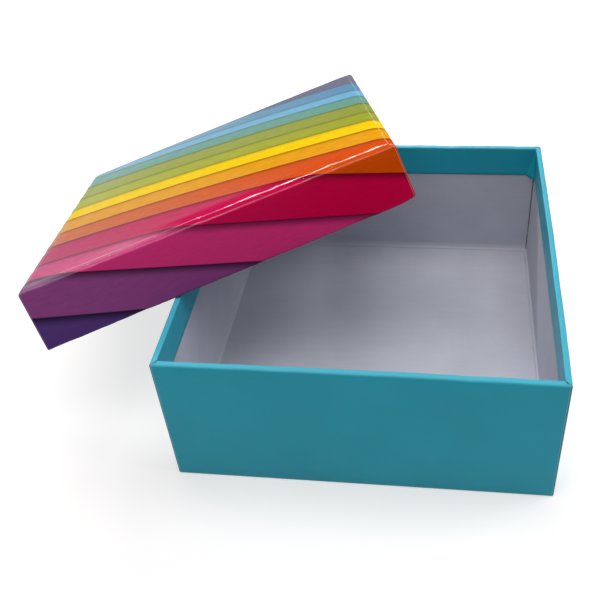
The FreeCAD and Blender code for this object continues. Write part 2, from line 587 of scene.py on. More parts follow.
@dataclass(frozen=True)
class WrapRows:
    """The wrap's profile, row by row from the closed face to the end of the turn-in.

    Attributes:
        inset: How far each row lies inside the flaps' face.
        height: Its height.
        unfolded: Its distance from the middle of the unfolded sheet.
        turned: Its share of the way down the turn-in, and 0 before that.
        lug: How far the side walls' paper lies under the front and back flaps.
        radius: The radius of its upright corners.
        centre: How far out along x and y the corner's centre lies.
        extra: How much longer the rolled sheet is than its plan, and 0 off the roll.
    """

    inset: np.ndarray
    height: np.ndarray
    unfolded: np.ndarray
    turned: np.ndarray
    lug: np.ndarray
    radius: np.ndarray
    centre: np.ndarray
    extra: np.ndarray


@dataclass(frozen=True)
class TrayFinish:
    """The materials of a tray's pieces.

    Attributes:
        paper: The wrap's.
        paper_slot: A name for the wrap's material slot; not used.
        board: The board's.
        stay: The corner stays'.
    """

    paper: bpy.types.Material
    paper_slot: str
    board: bpy.types.Material
    stay: bpy.types.Material


@dataclass
class WrappedTray:
    """A folded board blank, its corner stays and the one sheet of paper that wraps it, for base or lid.

    Attributes:
        name: The name of the body, "base" or "lid".
        stance: Where it stands in the frame.
        lie: How it strays from flat.
        finish: Its materials.
        roll: How wide the closed face rolls off before its fold.
        pillow: How far the face stands out of the plane of its folds.
        fold_drop: How far down the wall the roll ends.
        roll_power: How late the roll turns down, from 2 for an ellipse.
        corner_round: The radius of the upright corners.
        soft_corner: How much rounder the roll is in plan at its corners.
        board, paper, stay_paper: The thickness of the board, the wrap and the stays.
        turn_in: How far below the rim the turned-in paper ends.
        rim_round, rim_round_inside: The radii of the wrap's rim, outside and inside.
        loose: How far the turned-in paper stands off the board at the rim.
        board_rim_round: The radius of the board's rim.
        bead: The radius of the board's crimped beads.
        bead_foot: How far the floor runs level before its bead.
        score_open: How wide the board's half-cut scores open.
        score_round: The radius at the top of an opened score.
        flap_setback: How far short of the corner the front and back flaps end.
        flap_edge: How far past that, towards the corner, a flap's face ends and the lug under it starts.
        gusset: The turned-in paper in the inside corners.
        slit: The slits in the rim's corners.
        stay_leg: How far a stay reaches from its corner.
        stay_gap: How far it ends short of the board's rim and of its score.
        butt_depth: How deep the gap is where two walls of the board butt.
        butt_wave: The wave that makes that gap uneven.
        butt_middle, butt_swing, butt_shift: The gap's middle share of its depth, how far the wave takes it
            either way, and what is added to the wave first.
        butt_top: How far below the rim the gap starts.
        steps: Cuts along a wall between the closer ones at its ends.
        roll_cuts, rim_cuts, turn_in_cuts, corner_cuts: Cuts in the wrap's roll, rim, turn-in and corners.
        board_corner_cuts, board_rim_cuts, bead_cuts: Cuts in the board's corners, rim and beads.
        stay_cuts, notch_cuts: Cuts in a stay's legs and across its notch.
        wrap_step, board_step: The length of a cut up a wall, of the wrap and of the board.
        near_end: The distances of the closer cuts from a wall's end, with a pair at the edge of the flap.
    """

    name: str
    stance: Stance
    lie: Lie
    finish: TrayFinish
    roll: float = 7.0 * MM
    pillow: float = 0.7 * MM
    fold_drop: float = 1.7 * MM
    roll_power: float = 2.2
    corner_round: float = 0.5 * MM
    soft_corner: float = 1.8 * MM
    board: float = 1.5 * MM
    paper: float = 0.2 * MM
    stay_paper: float = 0.12 * MM
    turn_in: float = 15.5 * MM
    rim_round: float = 0.8 * MM
    rim_round_inside: float = 0.4 * MM
    loose: float = 0.35 * MM
    board_rim_round: float = 0.25 * MM
    bead: float = 0.9 * MM
    bead_foot: float = 0.6 * MM
    score_open: float = 1.0 * MM
    score_round: float = 0.1 * MM
    flap_setback: float = 0.15 * MM
    flap_edge: Pair = (0.02 * MM, 0.03 * MM)
    gusset: Gusset = Gusset()
    slit: RimSlit = RimSlit()
    stay_leg: float = 11.0 * MM
    stay_gap: float = 0.5 * MM
    butt_depth: float = 0.8 * MM
    butt_wave: Wave = Wave(9 * MM, 3, 60)
    butt_middle: float = 0.55
    butt_swing: float = 0.45
    butt_shift: float = 0.35
    butt_top: float = 2.0 * MM
    steps: int = 84
    roll_cuts: int = 28
    rim_cuts: int = 6
    turn_in_cuts: int = 12
    corner_cuts: int = 10
    board_corner_cuts: int = 4
    board_rim_cuts: int = 2
    bead_cuts: int = 8
    stay_cuts: int = 8
    notch_cuts: int = 3
    wrap_step: float = 4.5 * MM
    board_step: float = 3.5 * MM
    near_end: ClassVar[np.ndarray] = MM * np.array([
        0.0, 0.11, 0.15, 0.28, 0.45, 0.7, 1.1, 1.7, 2.6, 4.0, 6.0])

    @property
    def wall(self) -> float:
        """The wall's thickness, from the flap's face to the turned-in paper's."""
        return self.board + 3 * self.paper + self.stay_paper

    @property
    def board_inset(self) -> float:
        """How deep the board's outer face lies under the flap's, lug and stay included."""
        return 2 * self.paper + self.stay_paper

    @property
    def floor(self) -> float:
        """The height of the top of the board's floor."""
        return self.paper + self.board

    def cuts(self, low: np.ndarray, high: np.ndarray) -> np.ndarray:
        """Places along a wall: set distances near both ends, and even steps between.

        Args:
            low: The wall's first end, for each row.
            high: Its other end, for each row.

        Returns:
            An array of rows by cuts.
        """
        reach = self.near_end[-1]
        shares = np.linspace(0.0, 1.0, self.steps + 1)[1:-1]
        low, high = low[:, None], high[:, None]
        middle = (low + reach) + (high - low - 2 * reach) * shares
        return np.concatenate([low + self.near_end, middle, high - self.near_end[::-1]], axis=1)

    def level(self, inset: float, height: float) -> np.ndarray:
        """A level grid with the walls' own cuts both ways.

        Args:
            inset: How far inside the flaps' face it ends.
            height: Its height.

        Returns:
            The grid's points.
        """
        reach = np.array([self.stance.half - inset])
        across = self.cuts(-reach, reach)[0]
        grid = np.zeros((len(across), len(across), 3))
        grid[..., 0], grid[..., 1], grid[..., 2] = across[None, :], across[:, None], height
        return grid

    def up_wall(self, step: float) -> int:
        """How many cuts of about a length go up a wall, and no fewer than eight."""
        return max(8, round(self.stance.depth / step))

    def settle(self, points: np.ndarray) -> np.ndarray:
        """Points in the tray's axes, strayed as the tray does and put into the frame's axes."""
        return self.stance.place(self.lie.stray(points, self.stance.half, self.stance.depth))

    # -- the wrap

    def wrap_profile(self) -> np.ndarray:
        """The paper's outer face from the closed face to the end of the turn-in.

        Over the fold it rolls off as inset = roll·(1 − sin(t)^(2/power)) and height = fold_drop −
        (fold_drop + pillow)·cos(t), with t from 0 on the face to a quarter turn on the wall.

        Returns:
            The points as rows of (inset, height).
        """
        depth = self.stance.depth
        turn = np.linspace(0.0, math.pi / 2, self.roll_cuts + 1)[:-1]
        over_fold = np.stack([
            self.roll * (1 - np.sin(turn) ** (2 / self.roll_power)),
            self.fold_drop - (self.fold_drop + self.pillow) * np.cos(turn)], axis=-1)
        corners = [
            (0.0, self.fold_drop, 0.0), (0.0, depth, self.rim_round),
            (self.wall + self.loose, depth, self.rim_round_inside), (self.wall, depth - self.turn_in, 0.0)]
        run_cuts = (self.up_wall(self.wrap_step), self.turn_in_cuts, self.turn_in_cuts)
        return np.concatenate([over_fold, rounded_line(corners, self.rim_cuts, run_cuts)])

    def wrap_rows(self) -> WrapRows:
        """The profile with what each row needs to be carried round the tray.

        Returns:
            The rows.
        """
        half, depth = self.stance.half, self.stance.depth
        profile = self.wrap_profile()
        inset, height = profile[:, 0], profile[:, 1]
        lengths = np.concatenate([[0.0], np.cumsum(np.hypot(*np.diff(profile, axis=0).T))])
        unfolded = half - inset[0] + lengths
        number = np.arange(len(profile))
        past_rim = (number > np.argmax(height > depth - WELD)) & (inset > self.wall - WELD)
        down = (depth - self.gusset.top - height) / (self.turn_in - self.gusset.top)
        turned = past_rim * np.clip(down, 0, 1)
        lug = self.paper * smooth(0.0, self.fold_drop, height) * smooth(self.wall, self.corner_round, inset)
        on_roll = number < np.argmax(inset <= 0.0)
        share = np.clip(inset / self.roll, 0.0, 1.0)
        softened = self.corner_round * (1 - share) + self.soft_corner * np.sin(math.pi * share)
        radius = np.where(on_roll, softened, np.maximum(self.corner_round - inset, 0.0))
        extra = np.where(on_roll, unfolded - (half - inset), 0.0)
        return WrapRows(inset, height, unfolded, turned, lug, radius, half - inset - radius, extra)

    def wrap_wall(self, side: Side, rows: WrapRows) -> Patch:
        """The paper on one wall: outward·(half − inset) + along·s at each row's height, s from end to end.

        Args:
            side: The wall.
            rows: The wrap's rows.

        Returns:
            The patch.
        """
        reach = self.gusset.reach(side, rows.turned)
        along = self.cuts(-rows.centre + reach, rows.centre - reach)
        from_end = (rows.centre - reach)[:, None] - np.abs(along)
        if side.is_flap:
            lug = rows.lug[:, None] * nearing(self.flap_setback, self.flap_edge, from_end)
            drop = 0.0
        else:
            lug = rows.lug[:, None]
            drop = self.gusset.sag(rows.turned)[:, None] * smooth(self.gusset.drop_run, 0.0, from_end)
        inset = rows.inset[:, None] + lug
        points = side.outward * (self.stance.half - inset)[..., None] + side.along * along[..., None]
        points[..., 2] = rows.height[:, None] - drop
        return Patch(points, self.on_sheet(side, rows.unfolded, along))

    def wrap_corner(self, side: Side, rows: WrapRows) -> Patch:
        """The paper round the corner after a wall, which belongs to whichever of the two isn't a flap.

        Each row is a quarter turn of its radius about its centre, or the gusset's flat facet where the
        paper is turned in.

        Args:
            side: The wall before the corner.
            rows: The wrap's rows.

        Returns:
            The patch.
        """
        share = np.linspace(0.0, 1.0, self.corner_cuts + 1)
        angle = share * math.pi / 2
        outward = quarter_turn(side, angle)
        own, other = (self.gusset.reach(wall, rows.turned) for wall in (side, side.after))
        points = rows.centre[:, None, None] * (side.outward + side.along)
        points = points + (rows.radius - rows.lug)[:, None, None] * outward
        points = points - own[:, None, None] * (1 - share)[:, None] * side.along
        points = points - other[:, None, None] * share[:, None] * side.outward
        low_end = share if side.is_flap else 1 - share
        points[..., 2] = rows.height[:, None] - self.gusset.sag(rows.turned)[:, None] * low_end
        if side.is_flap:
            owner, end, angle = side.after, other - rows.centre, angle - math.pi / 2
        else:
            owner, end = side, rows.centre - own
        arc = (rows.radius + WELD / 20)[:, None] * angle
        lapped = self.on_sheet(owner, rows.unfolded, end[:, None] + arc)
        radial = (points + rows.extra[:, None, None] * outward)[..., :2] * [1, -1]
        return Patch(points, np.where((rows.extra > 0)[:, None, None], radial, lapped))

    @staticmethod
    def on_sheet(side: Side, out: np.ndarray, along: np.ndarray) -> np.ndarray:
        """Where points lie on the printed face of the unfolded sheet, with the tray's x to the right."""
        flat = side.outward * out[:, None, None] + side.along * along[..., None]
        return flat[..., :2] * [1, -1]

    def build_wrap(self) -> bpy.types.Object:
        """The whole wrap, as a sheet of paper with its thickness.

        Returns:
            The sheet: a patch for each wall and corner, and one for the closed face.
        """
        rows = self.wrap_rows()
        patches = [carry(side, rows) for side in Side for carry in (self.wrap_wall, self.wrap_corner)]
        face = self.level(rows.inset[0], rows.height[0])
        patches.append(Patch(face, face[..., :2] * [1, -1], flipped=True))
        for patch in patches:
            patch.points = self.settle(self.slit.cut(patch.points, self.stance.half, self.stance.depth))
        piece = surface(self.name + "_wrap_sheet", patches)
        thicken(piece, self.paper)
        return piece

    # -- the board

    def board_profile(self) -> np.ndarray:
        """The blank's section from the floor's top over the bead and the rim to its underside.

        The bead is a quarter circle on the line where floor and wall meet.

        Returns:
            The points as rows of (inset, height).
        """
        inner, outer = self.board_inset + self.board, self.board_inset
        rim = self.stance.depth - self.paper
        arc = np.linspace(0.0, math.pi / 2, self.bead_cuts + 1)[:-1]
        bead = np.stack([inner + self.bead * np.cos(arc), self.floor + self.bead * np.sin(arc)], axis=-1)
        run_cuts = (self.up_wall(self.board_step), 1) * 2
        corners = [
            (inner, self.floor + self.bead, 0.0), (inner, rim, self.board_rim_round),
            (outer, rim, self.board_rim_round), (outer, self.paper + self.score_open, self.score_round),
            (outer + self.score_open, self.paper, 0.0)]
        lead = [[inner + self.bead + self.bead_foot, self.floor]]
        return np.concatenate([lead, bead, rounded_line(corners, self.board_rim_cuts, run_cuts)])

    def board_patches(self) -> list[Patch]:
        """The blank's patches: a wall is outward·(half − inset) + along·s, and a corner a quarter turn.

        At the inside corners, the walls' ends are pushed outward to open an uneven gap.

        Returns:
            The patches, in the tray's axes and before they stray.
        """
        profile = self.board_profile()
        inset, height = profile[:, 0], profile[:, 1]
        corner = self.board_inset + self.board / 2
        centre, radius = self.stance.half - np.maximum(inset, corner), np.maximum(corner - inset, 0.0)
        on_wall = np.abs(inset - self.board_inset - self.board) < WELD
        opened = on_wall & (height < self.stance.depth - self.butt_top)
        wave = np.sign(self.butt_wave.at(height, self.lie.seed) + self.butt_shift)
        uneven = self.butt_middle + self.butt_swing * wave
        push = (self.butt_depth * opened * uneven)[:, None, None]
        angles = np.linspace(0.0, math.pi / 2, self.board_corner_cuts + 1)
        patches = []
        for side in Side:
            along = self.cuts(-centre, centre)
            end = np.zeros((along.shape[1], 1))
            end[[0, -1], 0] = [-1, 1]
            wall = side.outward * (self.stance.half - inset)[:, None, None] + side.along * along[..., None]
            wall = wall + push * (np.abs(end) * side.outward + end * side.along)
            turn = (centre[:, None, None] + push) * (side.outward + side.along)
            turn = turn + radius[:, None, None] * quarter_turn(side, angles)
            for points in (wall, turn):
                points[..., 2] = height[:, None]
                patches.append(Patch(points, points[..., :2], flipped=True))
        for row, flipped in ((0, False), (-1, True)):
            face = self.level(inset[row], height[row])
            patches.append(Patch(face, face[..., :2], flipped=flipped))
        return patches

    def build_board(self) -> bpy.types.Object:
        """The folded blank as a closed solid: floor, beads, walls, rim and underside.

        Returns:
            The blank.
        """
        half, depth = self.stance.half, self.stance.depth
        patches = self.board_patches()
        for patch in patches:
            on_floor = np.isclose(patch.points[..., 2], self.floor, atol=WELD)
            strayed = self.lie.stray(patch.points, half, depth)
            patch.points = self.stance.place(self.lie.warp_floor(strayed, half, on_floor))
        return surface(self.name + "_board_blank", patches)

    # -- the corner stays

    def build_stay(self, number: int) -> bpy.types.Object:
        """A corner's strip of gummed paper, which bridges the open notch outside the butt joint.

        Its plan runs along one wall, across the notch and along the other wall. The strips are numbered
        from the corner at +x +y, then +x −y, −x +y and −x −y.

        Args:
            number: The strip's number, from 1 to 4.

        Returns:
            The strip.
        """
        sign_x, sign_y = 1 - 2 * ((number - 1) // 2), 1 - 2 * ((number - 1) % 2)
        face = self.stance.half - self.board_inset
        outer = face + self.stay_paper
        bend = face - self.board / 2 + self.stay_paper * math.tan(math.pi / 8)
        leg = np.linspace(face - self.stay_leg, bend, self.stay_cuts + 1)
        turn = np.linspace(bend, outer, self.notch_cuts + 1)[1:-1]
        straight = np.full(len(leg), outer)
        plan_x = np.concatenate([straight, turn[::-1], leg[::-1]])
        plan_y = np.concatenate([leg, turn, straight])
        low = self.paper + self.score_open + self.stay_gap
        high = self.stance.depth - self.paper - self.board_rim_round - self.stay_gap
        height = np.linspace(low, high, self.stay_cuts + 1)[:, None]
        points = np.stack(np.broadcast_arrays(sign_x * plan_x, sign_y * plan_y, height), axis=-1)
        patch = Patch(self.settle(points), points[..., :2], flipped=sign_x * sign_y < 0)
        piece = surface(f"{self.name}_stay_strip_{number}", [patch])
        thicken(piece, self.stay_paper)
        return piece

    # -- the whole tray

    def put_in(self, piece: bpy.types.Object, node: str, material: bpy.types.Material) -> None:
        """Dress a new piece, let it ride on the tray's body in place of a node, and report it.

        Args:
            piece: The piece.
            node: The end of the node's name, after the body's.
            material: Its material.
        """
        piece.data.materials.append(material)
        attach(piece, self.name)
        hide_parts(self.name + node)
        log.info("%s on %s: %d faces", piece.name, self.name, len(piece.data.polygons))

    def assemble(self) -> None:
        """Build, dress and put in every piece of the tray."""
        self.put_in(self.build_wrap(), "_wrap", self.finish.paper)
        self.put_in(self.build_board(), "_board", self.finish.board)
        for number in range(1, 5):
            self.put_in(self.build_stay(number), f"_corner_stay_{number}", self.finish.stay)


# -------------------------------------------------------------------------------------------- finishes

class Nodes:
    """A material's or world's node tree, with short calls to add and join nodes."""

    def __init__(self, owner: bpy.types.Material | bpy.types.World) -> None:
        """Start an empty node tree.

        Args:
            owner: The material or world.
        """
        self.owner = owner
        owner.use_nodes = True
        self.tree = owner.node_tree
        self.tree.nodes.clear()

    @classmethod
    def of_new_material(cls, name: str) -> "Nodes":
        """The empty node tree of a new material."""
        return cls(bpy.data.materials.new(name))

    def add(self, kind: str, settings: dict[str, object] | None = None, **inputs: object) -> bpy.types.Node:
        """Add a node.

        Args:
            kind: Its type, without the word ShaderNode.
            settings: Properties to set on it.
            **inputs: A value or an output for each input, with _ for a space in its name.

        Returns:
            The node.
        """
        node = self.tree.nodes.new("ShaderNode" + kind)
        for key, value in (settings or {}).items():
            setattr(node, key, value)
        for key, value in inputs.items():
            self.put(node.inputs[key.replace("_", " ")], value)
        return node

    def put(self, socket: Socket, value: object) -> None:
        """Join an output to an input, or set the input's value.

        Args:
            socket: The input.
            value: The output, number or colour.
        """
        if isinstance(value, Socket):
            self.tree.links.new(value, socket)
        elif socket.type == "RGBA" and len(value) == 3:
            socket.default_value = (*value, 1.0)
        else:
            socket.default_value = value

    def put_all(self, node: bpy.types.Node, values: Sequence[object]) -> None:
        """Fill a node's inputs in their order.

        Args:
            node: The node.
            values: A value or an output for each of its first inputs.
        """
        for socket, value in zip(node.inputs, values):
            self.put(socket, value)

    def math(self, operation: str, *values: object) -> Socket:
        """The result of a sum.

        Args:
            operation: What to do.
            *values: The numbers or outputs to do it with.

        Returns:
            The result.
        """
        node = self.add("Math", {"operation": operation})
        self.put_all(node, values)
        return node.outputs[0]

    def spread(self, value: object, low: float, high: float, to_low: object, to_high: object,
               smoothly: bool = False) -> Socket:
        """A value carried from one range to another and clamped to it.

        Args:
            value: The value.
            low: The first range's low end.
            high: Its high end.
            to_low: What the low end becomes.
            to_high: What the high end becomes.
            smoothly: Whether to ease in and out.

        Returns:
            The new value.
        """
        easing = "SMOOTHSTEP" if smoothly else "LINEAR"
        node = self.add("MapRange", {"interpolation_type": easing, "clamp": True})
        self.put_all(node, (value, low, high, to_low, to_high))
        return node.outputs[0]

    def noise(self, place: object, scale: float, detail: float, roughness: float) -> Socket:
        """Noise of so many lumps a metre, from 0 to 1."""
        node = self.add("TexNoise", Vector=place, Scale=scale, Detail=detail, Roughness=roughness)
        return node.outputs["Fac"]

    def blend(self, share: object, first: object, second: object, way: str = "MIX") -> Socket:
        """Two colours mixed.

        Args:
            share: How much of the second one shows.
            first: The first colour.
            second: The second colour.
            way: How they mix.

        Returns:
            The mixed colour.
        """
        node = self.add("Mix", {"data_type": "RGBA", "blend_type": way})
        self.put(node.inputs[0], share)
        colours = [socket for socket in node.inputs if socket.type == "RGBA"]
        self.put(colours[0], first)
        self.put(colours[1], second)
        return [socket for socket in node.outputs if socket.type == "RGBA"][0]

    def shade(self, colour: object, tone: object, share: object = 1.0) -> Socket:
        """A colour times a tone, or as much of that as share says."""
        grey = self.add("CombineColor", Red=tone, Green=tone, Blue=tone).outputs[0]
        return self.blend(share, colour, grey, "MULTIPLY")

    def bump(self, height: object, distance: float, under: object | None = None) -> Socket:
        """A bump.

        Args:
            height: Its height as a share of the distance.
            distance: The distance.
            under: Another bump that it lies on.

        Returns:
            The surface's direction.
        """
        node = self.add("Bump", Height=height, Distance=distance)
        if under is not None:
            self.put(node.inputs["Normal"], under)
        return node.outputs["Normal"]

    def place(self) -> Socket:
        """A point's place on the piece."""
        return self.add("TexCoord").outputs["Object"]

    def sheet(self) -> Socket:
        """A point's place on the unfolded sheet."""
        return self.add("UVMap", {"uv_map": "sheet"}).outputs[0]

    def stretched(self, where: Socket, scale: Triple, turn: float = 0.0) -> Socket:
        """Coordinates turned about z and scaled, to draw noise out into streaks."""
        mapping = self.add("Mapping", Vector=where, Rotation=(0.0, 0.0, turn), Scale=scale)
        return mapping.outputs[0]

    def from_middle(self, where: Socket) -> tuple[Socket, Socket]:
        """How far a point lies from the middle along x and along y."""
        parts = self.add("SeparateXYZ", Vector=where)
        return self.math("ABSOLUTE", parts.outputs["X"]), self.math("ABSOLUTE", parts.outputs["Y"])

    def finish(self, shader: bpy.types.Node) -> bpy.types.Material:
        """Join the shader to the output.

        Args:
            shader: The shader.

        Returns:
            The finished material.
        """
        output = self.add("OutputMaterial")
        self.tree.links.new(shader.outputs[0], output.inputs["Surface"])
        return self.owner


def linear(red: int, green: int, blue: int) -> Triple:
    """A display colour, each part from 0 to 255, as linear light."""
    shares = np.array([red, green, blue]) / 255
    return tuple(np.where(shares <= 0.04045, shares / 12.92, ((shares + 0.055) / 1.055) ** 2.4))


@dataclass(frozen=True)
class Grain:
    """A small unevenness of a surface, from noise.

    Attributes:
        scale: Lumps a metre.
        detail: How many finer layers the noise has.
        roughness: How strong the finer layers are.
        low: Its value where the noise is low.
        high: Its value where the noise is high.
        depth: Its height as a bump.
        usual: The noise's low and high, past which its value stays the same.
    """

    scale: float
    detail: float = 3.0
    roughness: float = 0.5
    low: float = 0.0
    high: float = 1.0
    depth: float = 0.0
    usual: Pair = (0.3, 0.7)

    def value(self, nodes: Nodes, where: Socket) -> Socket:
        """Its value at a place."""
        noise = nodes.noise(where, self.scale, self.detail, self.roughness)
        return nodes.spread(noise, *self.usual, self.low, self.high)

    def bump(self, nodes: Nodes, where: Socket, under: Socket | None = None) -> Socket:
        """Its bump at a place, on top of another if given."""
        return nodes.bump(nodes.noise(where, self.scale, self.detail, self.roughness), self.depth, under)


@dataclass(frozen=True)
class FlapEnds:
    """The cut ends of a wrap's front and back flaps: a pale line and painted shade in the step beside it.

    Attributes:
        half: Half the width of the closed face.
        end: How far from the middle the flaps end.
        pale: How pale the cut edge is, from 0 to 1: partly its own paleness, partly a painted highlight.
        dark: The share of light left in the step, which is painted shade.
        edge: Half the width of the cut edge.
        step_middle: How far past the flap's end the middle of the step lies on the side wall.
        step_half: Half the step's width there.
    """

    half: float
    end: float
    pale: float
    dark: float
    edge: float = 0.13 * MM
    step_middle: float = 0.45 * MM
    step_half: float = 0.35 * MM

    def draw(self, nodes: Nodes, sheet: Socket, colour: Socket) -> Socket:
        """Draw them on a colour: painted shade in the step, and the pale edge with a painted highlight.

        Args:
            nodes: The material's nodes.
            sheet: The sheet's coordinates.
            colour: The colour.

        Returns:
            The colour with the lines.
        """
        across, along = nodes.from_middle(sheet)
        on_flap = nodes.math("GREATER_THAN", along, self.half)
        on_side = nodes.math("GREATER_THAN", across, self.half)
        edge = nodes.math("COMPARE", across, self.end - self.edge, self.edge)
        past = nodes.math("MULTIPLY", nodes.math("GREATER_THAN", across, self.end), on_flap)
        beside = nodes.math("COMPARE", along, self.end + self.step_middle, self.step_half)
        step = nodes.math("ADD", past, nodes.math("MULTIPLY", beside, on_side))
        # Painted shade past the flap's end, and beside it on the side wall.
        colour = nodes.shade(colour, nodes.spread(step, 0.0, 1.0, 1.0, self.dark))
        # The pale cut edge, partly a painted highlight.
        drawn = nodes.math("MULTIPLY", nodes.math("MULTIPLY", edge, on_flap), self.pale)
        return nodes.blend(drawn, colour, PALE)


@dataclass(frozen=True)
class SatinPaper:
    """Plain coloured paper under a satin laminate, with faint fibre and slow changes of tone.

    Attributes:
        name: The material's name.
        colour: The paper's colour.
        gloss: How strongly it mirrors.
        slow: Its slow changes of tone.
        fibre: Its fibre.
        sheen: Its roughness, which changes from place to place.
        dimples: The shallow dimples of glued paper.
        rim: The heights between which it turns paler, partly stretched paper and partly painted highlight.
        rim_pale_and_highlight: How much paler it turns, from stretched paper and a painted highlight.
        flap_ends: The cut ends of its flaps.
    """

    name: str = "satin_blue_green_paper"
    colour: Triple = linear(10, 165, 189)
    gloss: float = 0.28
    slow: Grain = Grain(28, low=0.94, high=1.04)
    fibre: Grain = Grain(2600, 2, 0.6, -0.02, 0.02, depth=0.004 * MM)
    sheen: Grain = Grain(160, low=0.31, high=0.42)
    dimples: Grain = Grain(420, roughness=0.55, depth=0.03 * MM)
    rim: Pair = (64.0 * MM, 64.8 * MM)
    rim_pale_and_highlight: float = 0.05
    flap_ends: FlapEnds = FlapEnds(75.0 * MM, 74.15 * MM, pale=0.2, dark=0.6)

    def material(self) -> bpy.types.Material:
        """Make the finish.

        Returns:
            The material.
        """
        nodes = Nodes.of_new_material(self.name)
        place, sheet = nodes.place(), nodes.sheet()
        tone = nodes.math("ADD", self.slow.value(nodes, place), self.fibre.value(nodes, place))
        colour = nodes.shade(self.colour, tone)
        height = nodes.add("SeparateXYZ", Vector=place).outputs["Z"]
        # The rim turns paler: partly the stretched paper, partly a painted highlight.
        colour = nodes.blend(nodes.spread(height, *self.rim, 0.0, self.rim_pale_and_highlight, True), colour, WHITE)
        colour = self.flap_ends.draw(nodes, sheet, colour)
        normal = self.fibre.bump(nodes, place, self.dimples.bump(nodes, place))
        return nodes.finish(nodes.add(
            "BsdfPrincipled", Base_Color=colour, Roughness=self.sheen.value(nodes, place), Normal=normal,
            Specular_IOR_Level=self.gloss))


@dataclass(frozen=True)
class Strip:
    """One printed strip of the overlapping bands.

    Attributes:
        far_edge: The place of its far edge across the print, in millimetres.
        lean: How far the edge climbs for each millimetre along the print.
        left: Its colour at the left end of the print.
        right: Its colour at the right end.
        shade: The share of light lost just under its far edge.
        cast: The share of light lost on the strip beyond, just past that edge.
        bow: How far the edge drops towards its ends, in millimetres.
    """

    far_edge: float
    lean: float
    left: Triple
    right: Triple
    shade: float = 0.3
    cast: float = 0.0
    bow: float = 1.5


